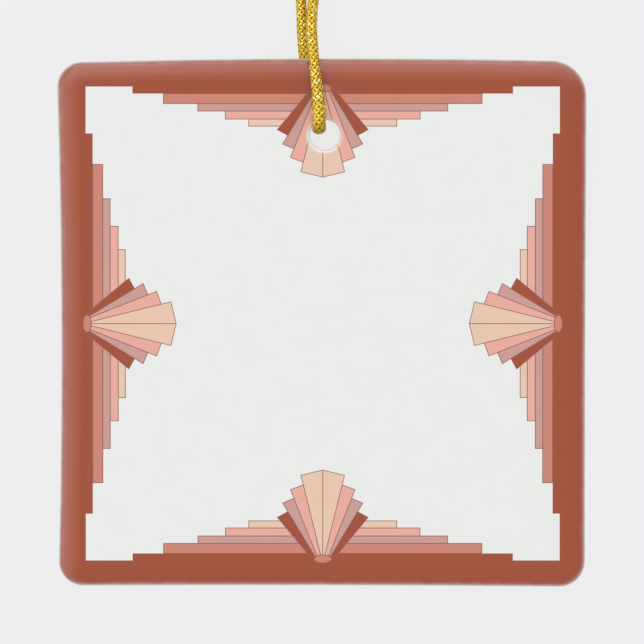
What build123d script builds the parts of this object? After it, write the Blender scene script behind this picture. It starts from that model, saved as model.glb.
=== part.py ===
from build123d import *
import os
from math import asin, degrees, radians, sqrt, tan

# Square glazed ceramic tile that hangs from a gold cord, lying face up with its loop laid out behind it.
# Millimetres. X runs along the tile's lower edge, Y from its lower edge to its upper edge, Z is up.

# Tile: the flat of its faces, and the soft edge that stands around that flat
FLAT_WIDTH = 67.8
FLAT_HEIGHT = 67.4
TILE_THICKNESS = 3.5
EDGE_WIDTH = 3.0
EDGE_LAND = 0.3

# Corner radii of the flat, from the upper left corner clockwise
FLAT_CORNER_RADII = (0.5, 2.0, 0.6, 0.4)

# How far each end of the upper and of the right side is fired beyond the flat's rectangle, and each end of
# the lower and of the left side within it
UPPER_FLARE = 0.1
RIGHT_FLARE = 0.08

# How far the fired sides bow outwards (plus) or inwards (minus) at their middle
UPPER_BOW = 0.42
RIGHT_BOW = -0.05
LOWER_BOW = -0.14
LEFT_BOW = -0.46

# Hanging hole
HOLE_RADIUS = 2.1
HOLE_X = 0.44
HOLE_EDGE_DISTANCE = 10.25
RIM_RADIUS = 0.5

# Cord and the sides of its plain section, its place left of the hole's middle, its turn at each of the
# two points round the hole's rim, and the share of its shorter run that a bend takes
CORD_DIAMETER = 1.5
CORD_SIDES = 8
CORD_CLEARANCE = 0.1
CORD_OFFSET = 0.9
RIM_TURN = 45.0
BEND_SHARE = 0.45

# Knot that ties the cord's ends, and the two cut tails behind it
KNOT_X = -2.45
KNOT_Y = 84.0
KNOT_RADIUS = 2.1
KNOT_LENGTH = 5.2
KNOT_CHAMFER = 0.6
STRAND_SPACING = 1.6
STRAND_LEAD = 3.5
TAIL_LENGTH = 7.0
TAIL_SPLAY = 12.0

# Sizes worked out from these
cord_radius = CORD_DIAMETER / 2
half_width = FLAT_WIDTH / 2
half_height = FLAT_HEIGHT / 2
hole_y = half_height + EDGE_WIDTH - HOLE_EDGE_DISTANCE

# In the hole the cord lies against the upper wall, and bends round the rim on both faces
cord_reach = HOLE_RADIUS - CORD_CLEARANCE - cord_radius
cord_x = HOLE_X - CORD_OFFSET
cord_y = hole_y + sqrt(cord_reach**2 - CORD_OFFSET**2)
rim_bend = RIM_RADIUS + CORD_CLEARANCE + cord_radius

# The tile rests on its lower edge and on the cord, which passes under it from the hole
rest_y = cord_y + rim_bend
rest_height = CORD_DIAMETER + 2 * CORD_CLEARANCE
tile_tilt = degrees(asin(rest_height / (rest_y + half_height)))


def flat_outline():
    """The flat of a face: four slightly bowed sides with rounded corners."""
    upper_left = (-half_width - UPPER_FLARE, half_height - RIGHT_FLARE)
    upper_right = (half_width + UPPER_FLARE, half_height + RIGHT_FLARE)
    lower_right = (half_width - UPPER_FLARE, -half_height - RIGHT_FLARE)
    lower_left = (-half_width + UPPER_FLARE, -half_height + RIGHT_FLARE)
    sides = [
        ThreePointArc(upper_left, (0, half_height + UPPER_BOW), upper_right),
        ThreePointArc(upper_right, (half_width + RIGHT_BOW, 0), lower_right),
        ThreePointArc(lower_right, (0, -half_height - LOWER_BOW), lower_left),
        ThreePointArc(lower_left, (-half_width - LEFT_BOW, 0), upper_left),
    ]
    outline = make_face(sides)
    corners = (upper_left, upper_right, lower_right, lower_left)
    for corner, radius in zip(corners, FLAT_CORNER_RADII):
        vertex = outline.vertices().sort_by_distance(corner)[0]
        outline = fillet(vertex, radius)
    return outline.face()


def soft_edge(outline):
    """The pillow edge: a rounded section carried round the flat's outline."""
    path = outline.outer_wire()
    start = path @ 0
    along = path % 0
    outwards = along.cross(Vector(0, 0, 1))
    if outwards.dot(start) < 0:
        outwards = -outwards
    section_plane = Plane(origin=start, x_dir=outwards, z_dir=outwards.cross(Vector(0, 0, 1)))
    round_height = (TILE_THICKNESS - EDGE_LAND) / 2
    front_height = TILE_THICKNESS - round_height
    section = make_face([
        Line((0, TILE_THICKNESS), (0, 0)),
        EllipticalCenterArc((0, round_height), EDGE_WIDTH, round_height, start_angle=270, arc_size=90),
        Line((EDGE_WIDTH, round_height), (EDGE_WIDTH, front_height)),
        EllipticalCenterArc((0, front_height), EDGE_WIDTH, round_height, start_angle=0, arc_size=90),
    ])
    return sweep(section_plane * section, path=path)


def make_tile():
    """The tile lying flat on its back, its middle over the origin."""
    outline = flat_outline()
    tile = extrude(outline, TILE_THICKNESS) + soft_edge(outline)
    hole_middle = (HOLE_X, hole_y, TILE_THICKNESS / 2)
    tile = tile - Pos(hole_middle) * Cylinder(HOLE_RADIUS, 2 * TILE_THICKNESS)
    hole_wall = tile.faces().filter_by(GeomType.CYLINDER).sort_by_distance(hole_middle)[0]
    return fillet(hole_wall.edges().filter_by(GeomType.CIRCLE), RIM_RADIUS)


def rest_place(tile):
    """Where the tile lies: tilted up onto the cord, the middle of its box over the origin."""
    tilt = Rot(tile_tilt, 0, 0)
    box = (tilt * tile).bounding_box()
    return Pos(-box.center().X, -box.center().Y, -box.min.Z) * tilt


def cord_route(place):
    """Points of the cord from the knot over the tile's face, through the hole and back under the tile."""

    def on_tile(x, y, z):
        return (place * Pos(x, y, z)).position

    floor = cord_radius + CORD_CLEARANCE / 4
    knot_height = KNOT_RADIUS
    front_x = KNOT_X + STRAND_SPACING / 2
    back_x = KNOT_X - STRAND_SPACING / 2

    # Two points at each rim of the hole carry the cord round its rounding
    half_corner = rim_bend * tan(radians(RIM_TURN / 2))
    over_face = TILE_THICKNESS - RIM_RADIUS + rim_bend
    under_back = RIM_RADIUS - rim_bend
    return [
        Vector(front_x, KNOT_Y, knot_height),
        Vector(front_x, KNOT_Y - STRAND_LEAD, knot_height),
        Vector(-1.0, 75.5, 1.0),
        Vector(0.1, 70.0, floor),
        Vector(0.2, 61.0, floor),
        Vector(-0.2, 53.5, floor),
        Vector(-0.95, 48.0, 1.1),
        Vector(-1.5, 44.0, 2.7),
        Vector(-1.55, 41.2, 4.4),
        Vector(-1.36, 38.6, 5.7),
        on_tile(-1.1, 35.9, over_face - 0.1),
        on_tile(-0.8, 33.1, over_face + 0.03),
        on_tile(-0.48, 30.4, over_face),
        on_tile(cord_x, rest_y - half_corner, over_face),
        on_tile(cord_x, cord_y, TILE_THICKNESS - RIM_RADIUS + half_corner),
        on_tile(cord_x, cord_y - 0.15, TILE_THICKNESS / 2),
        on_tile(cord_x, cord_y, RIM_RADIUS - half_corner),
        on_tile(cord_x, rest_y - half_corner, under_back),
        Vector(-1.0, 30.5, floor),
        Vector(-2.05, 34.0, floor),
        Vector(-2.72, 39.0, floor),
        Vector(-2.85, 45.0, floor),
        Vector(-3.5, 52.5, floor),
        Vector(-4.4, 61.0, floor),
        Vector(-4.6, 70.0, floor),
        Vector(-4.1, 75.5, 1.0),
        Vector(back_x, KNOT_Y - STRAND_LEAD, knot_height),
        Vector(back_x, KNOT_Y, knot_height),
    ]


def bend_radii(route):
    """The largest bend at each point of the route that its two runs have room for."""
    radii = []
    for before, here, after in zip(route, route[1:], route[2:]):
        shorter = min((here - before).length, (after - here).length)
        turn = (here - before).get_angle(after - here)
        radii.append(BEND_SHARE * shorter / tan(radians(turn / 2)))
    return radii


def make_cord(route):
    """The cord as a plain tube along the route."""
    path = FilletPolyline(*route, radius=bend_radii(route))
    section = Plane(origin=path @ 0, z_dir=path % 0) * RegularPolygon(cord_radius, CORD_SIDES)
    return sweep(section, path=path), path


def make_knot():
    """The tied knot as a barrel on the floor, with two cut tails that splay behind it."""
    middle = Pos(KNOT_X, KNOT_Y + KNOT_LENGTH / 2, KNOT_RADIUS) * Rot(90, 0, 0)
    barrel = middle * Cylinder(KNOT_RADIUS, KNOT_LENGTH)
    knot = chamfer(barrel.edges().filter_by(GeomType.CIRCLE), KNOT_CHAMFER)
    tail_reach = KNOT_LENGTH / 2 + TAIL_LENGTH
    tail_drop = degrees(asin((KNOT_RADIUS - cord_radius) / tail_reach))
    for side in (-1, 1):
        start = Pos(KNOT_X + side * STRAND_SPACING / 2, KNOT_Y + KNOT_LENGTH / 2, KNOT_RADIUS)
        tail = Cylinder(cord_radius, tail_reach, align=(Align.CENTER, Align.CENTER, Align.MIN))
        knot = knot + start * Rot(0, 0, -side * TAIL_SPLAY) * Rot(-90 - tail_drop, 0, 0) * tail
    return knot


tile = make_tile()
place = rest_place(tile)
route = cord_route(place)
cord, cord_path = make_cord(route)

nodes = {
    "tile": place * tile,
    "hanging_cord": cord,
    "cord_knot": make_knot(),
}

os.makedirs("parts", exist_ok=True)
for name, solid in nodes.items():
    export_step(solid, f"parts/{name}.step")

print("tile tilt", round(tile_tilt, 3), "degrees")
print("cord bends", [round(radius, 1) for radius in bend_radii(route)])
print("cord length", round(cord_path.length, 1))
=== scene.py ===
from math import cos, hypot, pi, radians, sin, tan

import bmesh
import bpy
import numpy as np
from mathutils import Matrix, Vector


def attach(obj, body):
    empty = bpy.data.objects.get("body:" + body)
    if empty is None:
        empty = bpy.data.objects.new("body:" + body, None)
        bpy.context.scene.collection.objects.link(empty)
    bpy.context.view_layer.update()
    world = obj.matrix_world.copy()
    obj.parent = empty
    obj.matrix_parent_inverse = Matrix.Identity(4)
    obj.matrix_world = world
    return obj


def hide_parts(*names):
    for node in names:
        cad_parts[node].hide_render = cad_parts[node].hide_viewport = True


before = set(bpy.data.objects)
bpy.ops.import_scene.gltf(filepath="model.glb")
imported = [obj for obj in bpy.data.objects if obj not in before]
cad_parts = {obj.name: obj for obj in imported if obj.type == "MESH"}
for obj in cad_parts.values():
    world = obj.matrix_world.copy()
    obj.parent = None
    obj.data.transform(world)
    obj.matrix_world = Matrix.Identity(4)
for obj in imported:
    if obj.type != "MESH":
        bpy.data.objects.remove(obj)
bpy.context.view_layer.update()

# Glazed, printed ceramic tile on a braided gold cord, lying face up with its loop laid out behind it.
# The frame is in metres. Sizes below are in millimetres and become metres through MM.
MM = 0.001

# Tile: where its own middle lies in the frame, how far it tips up onto the cord, and its hanging hole
TILE_MIDDLE = (-0.002, -0.127, 0.923)
TILE_TILT = 1.562
HOLE_MIDDLE = (0.44, 26.45)
HOLE_RADIUS = 2.1

# Print: its shift on the tile, its outlines, the soft edge of its ink, the bare ring that it leaves round
# the hole, and the heights above the tile's back between which it thins out, with their unevenness
PRINT_SHIFT = (0.115, 0.09)
LINE_WIDTH = 0.11
INK_SOFTNESS = 0.05
BARE_RIM = 0.62
BARE_SHIFT = (-0.15, -0.10)
EDGE_FADE = (1.6, 3.0)
EDGE_WAVER = 0.06

# The print repeats on the four sides. A place on it is (reach, aside): how far out from the tile's middle
# towards the nearest side, and how far along that side from the side's middle.
FRAME_REACH = 33.11
STEP_REACH = 32.13
STEP_HALF = 26.57

# Glaze: its mottling, clouding, long waves and finer skin, each with the scale of its noise, and its gloss
MOTTLE_SCALE = 0.5
CLOUD_SCALE = 0.35
CLOUD_TONES = (0.99, 1.01)
WAVE_SCALE = 0.12
WAVE_HEIGHT = 0.12
WAVE_STRENGTH = 0.5
SKIN_SCALE = 1.6
SKIN_SHARE = 0.04
GLAZE_ROUGHNESS = (0.14, 0.22)
GLAZE_IOR = 1.5

# Cord: route from the knot over the face, through the hole and back under the tile to the knot
CORD_ROUTE = [
    (-1.65, 84.00, 2.10),
    (-1.65, 80.50, 2.10),
    (-1.00, 75.50, 1.00),
    (0.10, 70.00, 0.78),
    (0.20, 61.00, 0.78),
    (-0.20, 53.50, 0.78),
    (-0.75, 48.00, 1.10),
    (-1.36, 44.00, 2.70),
    (-1.46, 41.20, 4.40),
    (-1.29, 38.60, 5.70),
    (-1.02, 35.64, 6.15),
    (-0.67, 32.84, 6.17),
    (-0.40, 30.14, 6.00),
    (-0.38, 27.85, 6.02),
    (-0.38, 27.08, 5.23),
    (-0.40, 26.98, 3.41),
    (-0.44, 27.18, 1.61),
    (-0.46, 27.99, 0.84),
    (-1.00, 30.50, 0.78),
    (-2.05, 34.00, 0.78),
    (-2.72, 39.00, 0.78),
    (-2.85, 45.00, 0.78),
    (-3.50, 52.50, 0.78),
    (-4.40, 61.00, 0.78),
    (-4.60, 70.00, 0.78),
    (-4.10, 75.50, 1.00),
    (-3.25, 80.50, 2.10),
    (-3.25, 84.00, 2.10),
]

# Over the face and round the rim the cord is pressed flat: the heights and the places along Y between which
# that sets in, and how much wider and thinner the cord then is
PRESSED_HEIGHTS = (1.8, 3.6)
PRESSED_PLACES = (29.0, 36.0)
PRESSED_WIDER = 0.22
PRESSED_THINNER = 0.15

# Knot: its middle, the two strands' path through it, how far apart and how slim they are, and their tails
KNOT_MIDDLE = (-2.45, 86.6, 2.1)
KNOT_ROUTE = [
    (0.00, -3.20, 0.00),
    (-0.15, -2.20, -0.10),
    (-0.85, -0.80, -0.55),
    (-0.90, 0.80, -0.60),
    (-0.20, 2.00, -0.95),
    (1.00, 2.50, -0.80),
    (1.75, 2.30, 0.10),
    (1.30, 1.90, 1.10),
    (0.40, 1.00, 1.30),
    (-0.40, -1.00, 1.30),
    (-1.30, -1.90, 1.10),
    (-1.75, -2.30, 0.10),
    (-1.00, -2.50, -0.80),
    (0.20, -2.00, -0.95),
    (0.90, -0.80, -0.60),
    (0.85, 0.80, -0.55),
    (0.15, 2.20, -0.10),
    (0.00, 4.00, -0.40),
    (0.05, 6.50, -1.10),
    (0.10, 9.40, -1.38),
]
KNOT_STRAND_APART = 1.4
KNOT_STRAND_SCALE = 0.93
TAIL_START = 3.2
TAIL_SPLAY = 12.0

# Braid: carriers each way round, their lay along the cord, a carrier's own section and the shift of its
# filaments from the next one's, the filling, and the steps of the mesh
BRAID_RADIUS = 0.79
CARRIERS = 6
LAY_LENGTH = 5.4
CARRIER_WIDTH = 0.50
CARRIER_THICKNESS = 0.20
CARRIER_WAVE = 0.07
CARRIER_SIDES = 6
CARRIER_SHIFT = 17.0
STEPS_A_CROSSING = 4
CORE_RADIUS = 0.52
CORE_SIDES = 10
CORE_STEPS = 16
WELD_DISTANCE = 0.001
SPLINE_STEPS = 24

# Metal thread: how its filaments are drawn out, where they turn from dark to bright gold and where pale
# gold glints are painted on them, their relief and roughness, and the fibres of the cord's filling
FILAMENT_SCALES = (12.0, 1.4, 9.0)
FILAMENT_SPAN = (0.36, 0.62)
FILAMENT_HEIGHT = 0.04
FILAMENT_STRENGTH = 0.6
GLINT_SCALE = 2.6
GLINT_SPAN = (0.58, 0.72)
GOLD_ROUGHNESS = (0.60, 0.40)
FIBRE_SCALE = 6.0
CORE_ROUGHNESS = 0.7

# View: the width that the picture shows at the tile's face, the place at its middle, the heights of the
# camera and of the face, the camera's sensor, and how far it sees
VIEW_WIDTH = 89.97
VIEW_MIDDLE = (0.01, 0.095)
CAMERA_HEIGHT = 1500.0
FACE_HEIGHT = 4.3
SENSOR_WIDTH = 36.0
SIGHT_END = 100000.0

# Stage, in metres: the table top with its glow and faint grain, and the key softbox
FLOOR_HALF = 4.0
FLOOR_DROP = 0.00005
FLOOR_GLOW = 0.76
FLOOR_ROUGHNESS = 0.9
GRAIN_SCALE = 40.0
GRAIN_TONES = (0.98, 1.0)
KEY_PLACE = (-0.5, 0.6, 0.9)
KEY_SIZE = 0.9
KEY_GLOW = 0.45

# Room: its glow at the horizon and overhead, the directions in degrees from X of its bright left and rear
# sides, what the left one adds to soft light and to reflections, the rear one's share of that, the heights
# between which both set in, and the dip where they meet
HORIZON_GLOW = 0.35
ROOM_GLOW = 0.95
LEFT_SIDE = 163.0
REAR_SIDE = 107.0
SIDE_GLOW = 0.15
SIDE_SHINE = 2.1
BEHIND_SHARE = 1.35
SIDE_FOOT = (0.05, 0.24)
SIDE_GAP = (0.52, 0.62)
SIDE_DIP = 0.36

# Values between which soft noise mostly stays
NOISE_SPAN = (0.3, 0.7)


def linear(red, green, blue):
    """A colour given as it shows on a screen, 0 to 255, as the light values that shaders take."""
    channels = [value / 255 for value in (red, green, blue)]
    values = [c / 12.92 if c <= 0.04045 else ((c + 0.055) / 1.055) ** 2.4 for c in channels]
    return (*values, 1.0)


WHITE_GLAZE = linear(229, 231, 228)
TERRACOTTA = linear(155, 67, 33)
CLAY = linear(199, 126, 107)
MAUVE = linear(197, 149, 142)
PINK = linear(228, 166, 152)
CREAM = linear(227, 193, 171)
OUTLINE_BROWN = linear(140, 82, 66)
GOLD = linear(222, 190, 70)
# Painted glints: near-white gold mixed into the thread's colour as highlights
PAINTED_GLINT_GOLD = linear(250, 236, 170)
DARK_GOLD = linear(158, 122, 14)
# Cord filling: its dark brown is partly painted shade between the carriers
CORE_SHADE_BROWN = linear(70, 48, 6)
FLOOR_PALE = linear(88, 88, 88)

# Bands of the stepped border: inner reach, outer reach, half length, colour
BANDS = [
    (30.73, 32.13, 22.24, CLAY),
    (29.69, 30.73, 17.45, MAUVE),
    (28.57, 29.69, 13.59, PINK),
    (27.58, 28.57, 10.34, CREAM),
]

# Blades of the folded fan, lowest first: foot and corner of the outer fold, inner end of the cap, colour
BLADES = [
    ((33.01, 1.40), (27.09, 6.33), (26.36, 4.99), TERRACOTTA),
    ((32.41, 1.17), (25.09, 5.60), (24.43, 4.05), MAUVE),
    ((32.33, 0.89), (23.22, 4.51), (22.56, 2.75), PINK),
    ((32.23, 0.32), (21.21, 3.05), (20.47, 0.00), CREAM),
]

# Foot and tip of the fan's middle fold, and the oval hub over its foot
FAN_FOOT = 32.60
FAN_TIP = 20.47
HUB_REACH = 32.90
HUB_HALF_DEPTH = 0.57
HUB_HALF_WIDTH = 1.26


# Node helpers


def add_node(tree, kind, **settings):
    """A new node with its settings."""
    node = tree.nodes.new(kind)
    for name, value in settings.items():
        setattr(node, name, value)
    return node


def feed(tree, socket, value):
    """Links a socket to another one, or sets it to a plain value."""
    if isinstance(value, bpy.types.NodeSocket):
        tree.links.new(value, socket)
    else:
        socket.default_value = value


def calculate(tree, operation, first, second=0.0):
    """One step of arithmetic."""
    node = add_node(tree, "ShaderNodeMath", operation=operation)
    feed(tree, node.inputs[0], first)
    feed(tree, node.inputs[1], second)
    return node.outputs[0]


def largest(tree, values):
    """The largest of several values."""
    result = values[0]
    for value in values[1:]:
        result = calculate(tree, "MAXIMUM", result, value)
    return result


def between(tree, value, low, high, low_result=0.0, high_result=1.0, smooth=False):
    """Maps low to high onto a range, and holds the ends."""
    node = add_node(tree, "ShaderNodeMapRange")
    if smooth:
        node.interpolation_type = "SMOOTHSTEP"
    feed(tree, node.inputs["Value"], value)
    feed(tree, node.inputs["From Min"], low)
    feed(tree, node.inputs["From Max"], high)
    feed(tree, node.inputs["To Min"], low_result)
    feed(tree, node.inputs["To Max"], high_result)
    return node.outputs["Result"]


def mix_colours(tree, share, first, second, blend="MIX"):
    """Two colours mixed by a share."""
    node = add_node(tree, "ShaderNodeMix", data_type="RGBA", blend_type=blend)
    feed(tree, node.inputs["Factor"], share)
    feed(tree, node.inputs["A"], first)
    feed(tree, node.inputs["B"], second)
    return node.outputs["Result"]


def noise(tree, place, scale, detail=2.0, roughness=0.5):
    """Soft random values, 0 to 1."""
    node = add_node(tree, "ShaderNodeTexNoise")
    feed(tree, node.inputs["Vector"], place)
    node.inputs["Scale"].default_value = scale
    node.inputs["Detail"].default_value = detail
    node.inputs["Roughness"].default_value = roughness
    return node.outputs["Fac"]


def bump(tree, height, strength, distance):
    """A surface normal from a height."""
    node = add_node(tree, "ShaderNodeBump")
    node.inputs["Strength"].default_value = strength
    node.inputs["Distance"].default_value = distance
    feed(tree, node.inputs["Height"], height)
    return node.outputs["Normal"]


def new_material(name):
    """A material and its tree, with its Principled shader."""
    material = bpy.data.materials.new(name)
    material.use_nodes = True
    tree = material.node_tree
    return material, tree, tree.nodes["Principled BSDF"]


# The print on the tile


def inside(tree, distance, edge=0.0):
    """A soft mask of where a distance is under an edge."""
    return between(tree, distance, edge - INK_SOFTNESS / 2, edge + INK_SOFTNESS / 2, 1.0, 0.0)


def paint(tree, below, distance, colour, line_width=0.0):
    """Paints one shape and its outline over what is below. The distance is negative inside the shape."""
    if line_width:
        below = mix_colours(tree, inside(tree, distance, line_width / 2), below, OUTLINE_BROWN)
    return mix_colours(tree, inside(tree, distance, -line_width / 2), below, colour)


def side_distance(tree, spot, start, end, within):
    """Distance from the line through two places of the print, negative on the side of a third place."""
    length = hypot(end[0] - start[0], end[1] - start[1])
    across = ((end[1] - start[1]) / length, (start[0] - end[0]) / length)
    offset = -(across[0] * start[0] + across[1] * start[1])
    turn = -1 if across[0] * within[0] + across[1] * within[1] + offset > 0 else 1
    node = add_node(tree, "ShaderNodeVectorMath", operation="DOT_PRODUCT")
    feed(tree, node.inputs[0], spot)
    node.inputs[1].default_value = (turn * across[0], turn * across[1], turn * offset)
    return node.outputs["Value"]


def print_group():
    """Stepped border and folded fans on the four sides, from a place on the tile's face in millimetres."""
    tree = bpy.data.node_groups.new("stepped_fan_print", "ShaderNodeTree")
    tree.interface.new_socket("Place", in_out="INPUT", socket_type="NodeSocketVector")
    tree.interface.new_socket("Color", in_out="OUTPUT", socket_type="NodeSocketColor")
    entry = add_node(tree, "NodeGroupInput")
    leave = add_node(tree, "NodeGroupOutput")

    # All four sides fold onto one half side
    folded = add_node(tree, "ShaderNodeVectorMath", operation="ABSOLUTE")
    feed(tree, folded.inputs[0], entry.outputs["Place"])
    parts = add_node(tree, "ShaderNodeSeparateXYZ")
    feed(tree, parts.inputs[0], folded.outputs["Vector"])
    reach = calculate(tree, "MAXIMUM", parts.outputs["X"], parts.outputs["Y"])
    aside = calculate(tree, "MINIMUM", parts.outputs["X"], parts.outputs["Y"])
    joined = add_node(tree, "ShaderNodeCombineXYZ")
    feed(tree, joined.inputs["X"], reach)
    feed(tree, joined.inputs["Y"], aside)
    joined.inputs["Z"].default_value = 1.0
    spot = joined.outputs["Vector"]

    def beyond(value):
        return calculate(tree, "SUBTRACT", value, reach)

    def short_of(value):
        return calculate(tree, "SUBTRACT", reach, value)

    def within_half(value):
        return calculate(tree, "SUBTRACT", aside, value)

    # Frame and its step
    colour = paint(tree, WHITE_GLAZE, beyond(FRAME_REACH), TERRACOTTA)
    step = largest(tree, [beyond(STEP_REACH), within_half(STEP_HALF)])
    colour = paint(tree, colour, step, TERRACOTTA)

    # Stepped bands
    for inner, outer, half, shade in BANDS:
        band = largest(tree, [beyond(inner), short_of(outer), within_half(half)])
        colour = paint(tree, colour, band, shade, LINE_WIDTH)

    # Fan, from its lowest blade to its uppermost, then its middle fold and its hub
    for foot, corner, cap_end, shade in BLADES:
        middle = ((foot[0] + corner[0]) / 2, 0.0)
        fold = side_distance(tree, spot, foot, corner, middle)
        cap = side_distance(tree, spot, corner, cap_end, middle)
        blade = largest(tree, [fold, cap, short_of(FAN_FOOT)])
        colour = paint(tree, colour, blade, shade, LINE_WIDTH)
    crease = largest(tree, [beyond(FAN_TIP), short_of(FAN_FOOT), within_half(LINE_WIDTH / 2)])
    colour = paint(tree, colour, crease, OUTLINE_BROWN)
    depth = calculate(tree, "DIVIDE", short_of(HUB_REACH), HUB_HALF_DEPTH)
    width = calculate(tree, "DIVIDE", aside, HUB_HALF_WIDTH)
    depth_square = calculate(tree, "MULTIPLY", depth, depth)
    width_square = calculate(tree, "MULTIPLY", width, width)
    from_middle = calculate(tree, "SQRT", calculate(tree, "ADD", depth_square, width_square))
    hub = calculate(tree, "MULTIPLY", calculate(tree, "SUBTRACT", from_middle, 1.0), HUB_HALF_DEPTH)
    colour = paint(tree, colour, hub, CLAY, LINE_WIDTH)

    feed(tree, leave.inputs["Color"], colour)
    return tree


def glazed_print_material():
    """White porcelain glaze with the print fired into its face."""
    material, tree, shader = new_material("glazed_printed_porcelain")
    spots = add_node(tree, "ShaderNodeTexCoord")
    on_tile = add_node(tree, "ShaderNodeMapping", vector_type="TEXTURE")
    on_tile.inputs["Location"].default_value = [value * MM for value in TILE_MIDDLE]
    on_tile.inputs["Rotation"].default_value = (radians(TILE_TILT), 0.0, 0.0)
    on_tile.inputs["Scale"].default_value = (MM, MM, MM)
    feed(tree, on_tile.inputs["Vector"], spots.outputs["Object"])
    place = on_tile.outputs["Vector"]

    shift = add_node(tree, "ShaderNodeVectorMath", operation="SUBTRACT")
    feed(tree, shift.inputs[0], place)
    shift.inputs[1].default_value = (*PRINT_SHIFT, 0.0)
    design = add_node(tree, "ShaderNodeGroup", node_tree=print_group())
    feed(tree, design.inputs["Place"], shift.outputs["Vector"])

    # The ink stops short of the hole's rim and thins out down the sides of the tile
    parts = add_node(tree, "ShaderNodeSeparateXYZ")
    feed(tree, parts.inputs[0], place)
    flat = add_node(tree, "ShaderNodeCombineXYZ")
    feed(tree, flat.inputs["X"], parts.outputs["X"])
    feed(tree, flat.inputs["Y"], parts.outputs["Y"])
    from_hole = add_node(tree, "ShaderNodeVectorMath", operation="DISTANCE")
    feed(tree, from_hole.inputs[0], flat.outputs["Vector"])
    bare_middle = [middle + move for middle, move in zip(HOLE_MIDDLE, BARE_SHIFT)]
    from_hole.inputs[1].default_value = (*bare_middle, 0.0)
    off_rim = between(tree, from_hole.outputs["Value"], HOLE_RADIUS, HOLE_RADIUS + BARE_RIM, smooth=True)
    mottle = noise(tree, place, MOTTLE_SCALE, detail=3.0)
    waver = between(tree, mottle, *NOISE_SPAN, -EDGE_WAVER, EDGE_WAVER)
    on_front = between(tree, calculate(tree, "ADD", parts.outputs["Z"], waver), *EDGE_FADE, smooth=True)
    ink = calculate(tree, "MULTIPLY", off_rim, on_front)

    # Slight clouding of ink and glaze
    clouds = noise(tree, place, CLOUD_SCALE, detail=4.0, roughness=0.6)
    tone = between(tree, clouds, *NOISE_SPAN, *CLOUD_TONES)
    colour = mix_colours(tree, ink, WHITE_GLAZE, design.outputs["Color"])
    clouded = add_node(tree, "ShaderNodeVectorMath", operation="SCALE")
    feed(tree, clouded.inputs[0], colour)
    feed(tree, clouded.inputs["Scale"], tone)
    feed(tree, shader.inputs["Base Color"], clouded.outputs["Vector"])

    # The fired glaze runs in long soft waves, with a finer skin over them
    waves = noise(tree, place, WAVE_SCALE, detail=1.0)
    skin = noise(tree, place, SKIN_SCALE)
    height = calculate(tree, "ADD", waves, calculate(tree, "MULTIPLY", skin, SKIN_SHARE))
    feed(tree, shader.inputs["Normal"], bump(tree, height, WAVE_STRENGTH, WAVE_HEIGHT * MM))
    feed(tree, shader.inputs["Roughness"], between(tree, mottle, *NOISE_SPAN, *GLAZE_ROUGHNESS))
    shader.inputs["IOR"].default_value = GLAZE_IOR
    return material


# The gold cord


def gold_material():
    """Metallic thread: foil-wrapped filaments that run along each carrier of the braid, with glints painted
    on in pale gold.
    """
    material, tree, shader = new_material("gold_metallic_thread")
    along = add_node(tree, "ShaderNodeAttribute", attribute_name="filament")
    stretch = add_node(tree, "ShaderNodeMapping")
    stretch.inputs["Scale"].default_value = FILAMENT_SCALES
    feed(tree, stretch.inputs["Vector"], along.outputs["Vector"])
    filaments = noise(tree, stretch.outputs["Vector"], 1.0, detail=3.0, roughness=0.6)
    painted_glints = noise(tree, along.outputs["Vector"], GLINT_SCALE, detail=1.0)
    body = mix_colours(tree, between(tree, filaments, *FILAMENT_SPAN), DARK_GOLD, GOLD)
    # Painted highlights: pale gold glints mixed into the thread's colour where the glint noise is high
    colour = mix_colours(tree, between(tree, painted_glints, *GLINT_SPAN), body, PAINTED_GLINT_GOLD)
    feed(tree, shader.inputs["Base Color"], colour)
    feed(tree, shader.inputs["Roughness"], between(tree, filaments, *NOISE_SPAN, *GOLD_ROUGHNESS))
    feed(tree, shader.inputs["Normal"], bump(tree, filaments, FILAMENT_STRENGTH, FILAMENT_HEIGHT * MM))
    shader.inputs["Metallic"].default_value = 1.0
    return material


def core_material():
    """The cord's filling, which shows between the carriers; its dark brown is partly its own colour and
    partly painted shade in the gaps.
    """
    material, tree, shader = new_material("cord_filling")
    spots = add_node(tree, "ShaderNodeTexCoord")
    fibres = noise(tree, spots.outputs["Object"], FIBRE_SCALE / MM)
    # Painted shade: the filling's dark brown darkens the gaps between the carriers
    feed(tree, shader.inputs["Base Color"], mix_colours(tree, fibres, CORE_SHADE_BROWN, DARK_GOLD))
    shader.inputs["Roughness"].default_value = CORE_ROUGHNESS
    return material


def smooth_line(route):
    """Points of the smooth line that a route's points control."""
    curve = bpy.data.curves.new("route", "CURVE")
    curve.dimensions = "3D"
    curve.resolution_u = SPLINE_STEPS
    spline = curve.splines.new("NURBS")
    spline.points.add(len(route) - 1)
    for point, place in zip(spline.points, route):
        point.co = (*place, 1.0)
    spline.order_u = 3
    spline.use_endpoint_u = True
    holder = bpy.data.objects.new("route", curve)
    mesh = bpy.data.meshes.new_from_object(holder)
    line = np.array([vertex.co for vertex in mesh.vertices])
    bpy.data.meshes.remove(mesh)
    bpy.data.objects.remove(holder)
    bpy.data.curves.remove(curve)
    return line


def measure(line):
    """How far along a line each of its points is."""
    return np.concatenate([[0.0], np.cumsum(np.linalg.norm(np.diff(line, axis=0), axis=1))])


def carried_frames(line):
    """Two directions across a line at each of its points, carried along it from X without twist."""
    ahead = np.gradient(line, axis=0)
    ahead /= np.linalg.norm(ahead, axis=1, keepdims=True)
    aside = np.empty_like(line)
    direction = np.array((1.0, 0.0, 0.0))
    for index, tangent in enumerate(ahead):
        direction = direction - tangent * (direction @ tangent)
        direction /= np.linalg.norm(direction)
        aside[index] = direction
    return aside, np.cross(ahead, aside)


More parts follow.
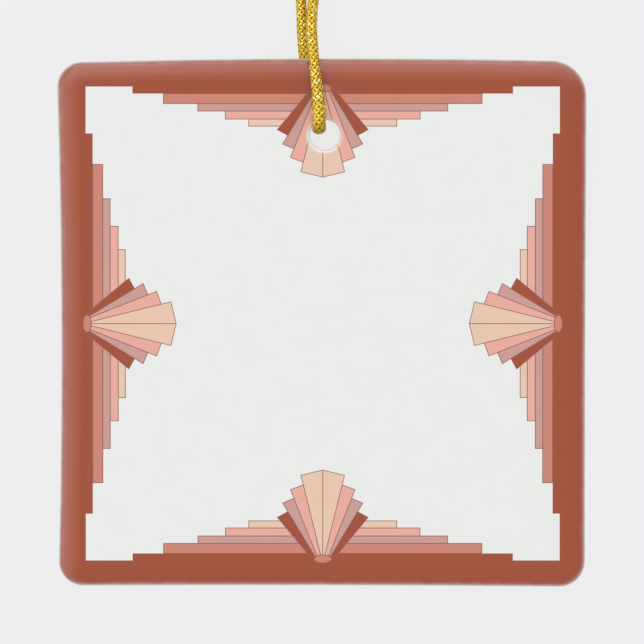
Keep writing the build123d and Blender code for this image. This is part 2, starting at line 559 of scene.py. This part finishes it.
def sweep(shape, length, steps, turn):
    """Draws the loose rings out along Z while they turn about it, and gives the new faces."""
    before = set(shape.faces)
    bmesh.ops.spin(
        shape,
        geom=[edge for edge in shape.edges if edge.is_wire],
        cent=(0.0, 0.0, 0.0),
        axis=(0.0, 0.0, 1.0),
        dvec=(0.0, 0.0, length / steps),
        angle=turn,
        steps=steps,
        use_duplicate=False,
    )
    return set(shape.faces) - before


def braid_lay(lay):
    """One lay of straight braid along Z: carriers that wind both ways, over and under each other."""
    middle_radius = BRAID_RADIUS - CARRIER_THICKNESS / 2 - CARRIER_WAVE
    braid = bmesh.new()
    filament = braid.verts.layers.float_vector.new("filament")
    for way in (1, -1):
        before = set(braid.verts)
        for carrier in range(CARRIERS):
            ring = bmesh.ops.create_circle(braid, segments=CARRIER_SIDES, radius=0.5)["verts"]
            bmesh.ops.scale(braid, vec=(CARRIER_THICKNESS, CARRIER_WIDTH, 1.0), verts=ring)
            for vertex in ring:
                vertex[filament] = (vertex.co.y, carrier * CARRIER_SHIFT, way)
            bmesh.ops.translate(braid, vec=(middle_radius, 0.0, 0.0), verts=ring)
            turn = Matrix.Rotation(2 * pi * carrier / CARRIERS, 3, "Z")
            bmesh.ops.rotate(braid, cent=(0.0, 0.0, 0.0), matrix=turn, verts=ring)
        sweep(braid, lay, 2 * CARRIERS * STEPS_A_CROSSING, way * 2 * pi)
        for vertex in set(braid.verts) - before:
            wave = way * CARRIER_WAVE * cos(2 * pi * CARRIERS * vertex.co.z / lay)
            vertex.co.xy *= 1 + wave / hypot(vertex.co.x, vertex.co.y)
    bmesh.ops.create_circle(braid, segments=CORE_SIDES, radius=CORE_RADIUS)
    for face in sweep(braid, lay, CORE_STEPS, 0.0):
        face.material_index = 1
    bmesh.ops.recalc_face_normals(braid, faces=braid.faces)
    for face in braid.faces:
        face.smooth = True
    return braid


def straight_braid(length):
    """A straight length of braid along Z, in whole lays, with its ends closed."""
    lays = round(length / LAY_LENGTH)
    unit = bpy.data.meshes.new("braid_lay")
    shape = braid_lay(length / lays)
    shape.to_mesh(unit)
    shape.free()
    holder = bpy.data.objects.new("braid_lay", unit)
    bpy.context.scene.collection.objects.link(holder)
    repeat = holder.modifiers.new("lays", "ARRAY")
    repeat.count = lays
    repeat.use_relative_offset = False
    repeat.use_constant_offset = True
    repeat.constant_offset_displace = (0.0, 0.0, length / lays)
    repeat.use_merge_vertices = True
    repeat.merge_threshold = WELD_DISTANCE
    done = holder.evaluated_get(bpy.context.evaluated_depsgraph_get())
    mesh = bpy.data.meshes.new_from_object(done)
    bpy.data.objects.remove(holder)
    bpy.data.meshes.remove(unit)
    closed = bmesh.new()
    closed.from_mesh(mesh)
    open_edges = [edge for edge in closed.edges if edge.is_boundary]
    bmesh.ops.holes_fill(closed, edges=open_edges, sides=CORE_SIDES)
    closed.to_mesh(mesh)
    closed.free()
    return mesh


def pressed_share(spots):
    """How far the cord is pressed flat where its middle is at each of these spots, 0 to 1."""
    by_height = np.interp(spots[:, 2] / MM, PRESSED_HEIGHTS, (0.0, 1.0))
    by_place = np.interp(spots[:, 1] / MM, PRESSED_PLACES, (1.0, 0.0))
    return by_height * by_place


def lay_along(mesh, line, scale):
    """Lays a straight braid along a line, in metres."""
    far = measure(line)
    aside, up = carried_frames(line)
    flat = np.empty(len(mesh.vertices) * 3)
    mesh.vertices.foreach_get("co", flat)
    flat = flat.reshape(-1, 3)
    reach = flat[:, 2] * MM
    spot, across, over = [
        np.stack([np.interp(reach, far, part[:, k]) for k in range(3)], 1) for part in (line, aside, up)
    ]
    pressed = pressed_share(spot)[:, None]
    wide = flat[:, :1] * (1 + PRESSED_WIDER * pressed)
    thick = flat[:, 1:2] * (1 - PRESSED_THINNER * pressed)
    placed = spot + (across * wide + over * thick) * MM * scale
    mesh.vertices.foreach_set("co", placed.ravel())
    run = np.empty(len(flat) * 3)
    mesh.attributes["filament"].data.foreach_get("vector", run)
    run = run.reshape(-1, 3)
    run[:, 1] += flat[:, 2]
    mesh.attributes["filament"].data.foreach_set("vector", run.ravel())


def cord_piece(name, lines, scale=1.0):
    """One braided piece whose strands follow the given lines."""
    whole = bmesh.new()
    for line in lines:
        strand = straight_braid(measure(line)[-1] / MM)
        lay_along(strand, line, scale)
        whole.from_mesh(strand)
        bpy.data.meshes.remove(strand)
    mesh = bpy.data.meshes.new(name)
    whole.to_mesh(mesh)
    whole.free()
    mesh.materials.append(gold)
    mesh.materials.append(core)
    piece = bpy.data.objects.new(name, mesh)
    bpy.context.scene.collection.objects.link(piece)
    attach(piece, "root")
    return piece


def in_metres(route, middle=(0.0, 0.0, 0.0)):
    """A route's points in the frame."""
    return [tuple((value + shift) * MM for value, shift in zip(point, middle)) for point in route]


def knot_lines():
    """The cord's two ends, side by side through the knot and apart in their tails, above the floor."""
    centre = smooth_line(in_metres(KNOT_ROUTE, KNOT_MIDDLE))
    aside, up = carried_frames(centre)
    far = measure(centre) / MM
    tail_from = far[-1] - (KNOT_ROUTE[-1][1] - TAIL_START)

    # The pair turns evenly on its way through the knot, so that its tails lie side by side
    level = np.arctan(-aside[-1, 2] / up[-1, 2])
    turn = level * np.clip(far / tail_from, 0.0, 1.0)[:, None]
    aside = aside * np.cos(turn) + up * np.sin(turn)
    spread = KNOT_STRAND_APART / 2 + np.clip(far - tail_from, 0.0, None) * tan(radians(TAIL_SPLAY))
    lines = [centre + side * aside * spread[:, None] * MM for side in (-1, 1)]
    for line in lines:
        line[:, 2] = np.maximum(line[:, 2], BRAID_RADIUS * KNOT_STRAND_SCALE * MM)
    return lines


# Stage


def key_softbox():
    """A soft square light that faces the tile."""
    lamp = bpy.data.lights.new("key_softbox", "AREA")
    lamp.size = KEY_SIZE
    lamp.energy = KEY_GLOW * pi * KEY_SIZE**2
    holder = bpy.data.objects.new("key_softbox", lamp)
    holder.location = KEY_PLACE
    holder.rotation_euler = (-Vector(KEY_PLACE)).to_track_quat("-Z", "Y").to_euler()
    bpy.context.scene.collection.objects.link(holder)


def facing(tree, direction, side):
    """How squarely a direction looks at one side of the room, 0 to 1."""
    node = add_node(tree, "ShaderNodeVectorMath", operation="DOT_PRODUCT")
    feed(tree, node.inputs[0], direction)
    node.inputs[1].default_value = (cos(radians(side)), sin(radians(side)), 0.0)
    return calculate(tree, "MAXIMUM", node.outputs["Value"], 0.0)


def studio_room():
    """Soft light from all round, brighter from the left and from behind, with a dip between the two."""
    world = bpy.data.worlds.new("studio_room")
    world.use_nodes = True
    tree = world.node_tree
    direction = add_node(tree, "ShaderNodeTexCoord").outputs["Generated"]
    parts = add_node(tree, "ShaderNodeSeparateXYZ")
    feed(tree, parts.inputs[0], direction)
    left = facing(tree, direction, LEFT_SIDE)
    behind = facing(tree, direction, REAR_SIDE)
    apart = between(tree, calculate(tree, "MULTIPLY", left, behind), *SIDE_GAP, 1.0, SIDE_DIP, smooth=True)
    raised = between(tree, parts.outputs["Z"], *SIDE_FOOT, smooth=True)
    sides = calculate(tree, "MAXIMUM", left, calculate(tree, "MULTIPLY", behind, BEHIND_SHARE))
    for share in (apart, raised):
        sides = calculate(tree, "MULTIPLY", sides, share)
    mirrored = add_node(tree, "ShaderNodeLightPath").outputs["Is Glossy Ray"]
    glow = calculate(tree, "MULTIPLY", sides, between(tree, mirrored, 0.0, 1.0, SIDE_GLOW, SIDE_SHINE))
    sky = tree.nodes["Background"]
    sky.inputs["Color"].default_value = (1.0, 1.0, 1.0, 1.0)
    room = between(tree, raised, 0.0, 1.0, HORIZON_GLOW, ROOM_GLOW)
    feed(tree, sky.inputs["Strength"], calculate(tree, "ADD", glow, room))
    return world


def pale_floor():
    """A wide light table: its glow keeps shadows faint."""
    sheet = bmesh.new()
    bmesh.ops.create_grid(sheet, x_segments=1, y_segments=1, size=FLOOR_HALF)
    mesh = bpy.data.meshes.new("floor")
    sheet.to_mesh(mesh)
    sheet.free()
    mesh.transform(Matrix.Translation((0.0, 0.0, -FLOOR_DROP)))
    material, tree, shader = new_material("pale_table")
    grain = noise(tree, add_node(tree, "ShaderNodeTexCoord").outputs["Object"], GRAIN_SCALE)
    shade = between(tree, grain, *NOISE_SPAN, *GRAIN_TONES)
    feed(tree, shader.inputs["Base Color"], mix_colours(tree, 1.0, FLOOR_PALE, shade, "MULTIPLY"))
    shader.inputs["Roughness"].default_value = FLOOR_ROUGHNESS
    shader.inputs["Specular IOR Level"].default_value = 0.0
    shader.inputs["Emission Color"].default_value = (1.0, 1.0, 1.0, 1.0)
    shader.inputs["Emission Strength"].default_value = FLOOR_GLOW
    mesh.materials.append(material)
    floor = bpy.data.objects.new("floor", mesh)
    bpy.context.scene.collection.objects.link(floor)


gold = gold_material()
core = core_material()

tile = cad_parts["tile"]
tile.data.materials.clear()
tile.data.materials.append(glazed_print_material())

knot = cord_piece("tied_knot", knot_lines(), KNOT_STRAND_SCALE)
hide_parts("cord_knot")

cord_line = smooth_line(in_metres(CORD_ROUTE))
cord = cord_piece("braided_cord", [cord_line])
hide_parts("hanging_cord")

pale_floor()
key_softbox()
bpy.context.scene.world = studio_room()
bpy.context.scene.view_settings.view_transform = "Standard"

lens = bpy.data.cameras.new("camera")
lens.sensor_width = SENSOR_WIDTH
lens.lens = SENSOR_WIDTH * (CAMERA_HEIGHT - FACE_HEIGHT) / VIEW_WIDTH
lens.clip_end = SIGHT_END * MM
camera = bpy.data.objects.new("camera", lens)
camera.location = [value * MM for value in (*VIEW_MIDDLE, CAMERA_HEIGHT)]
bpy.context.scene.collection.objects.link(camera)
bpy.context.scene.camera = camera
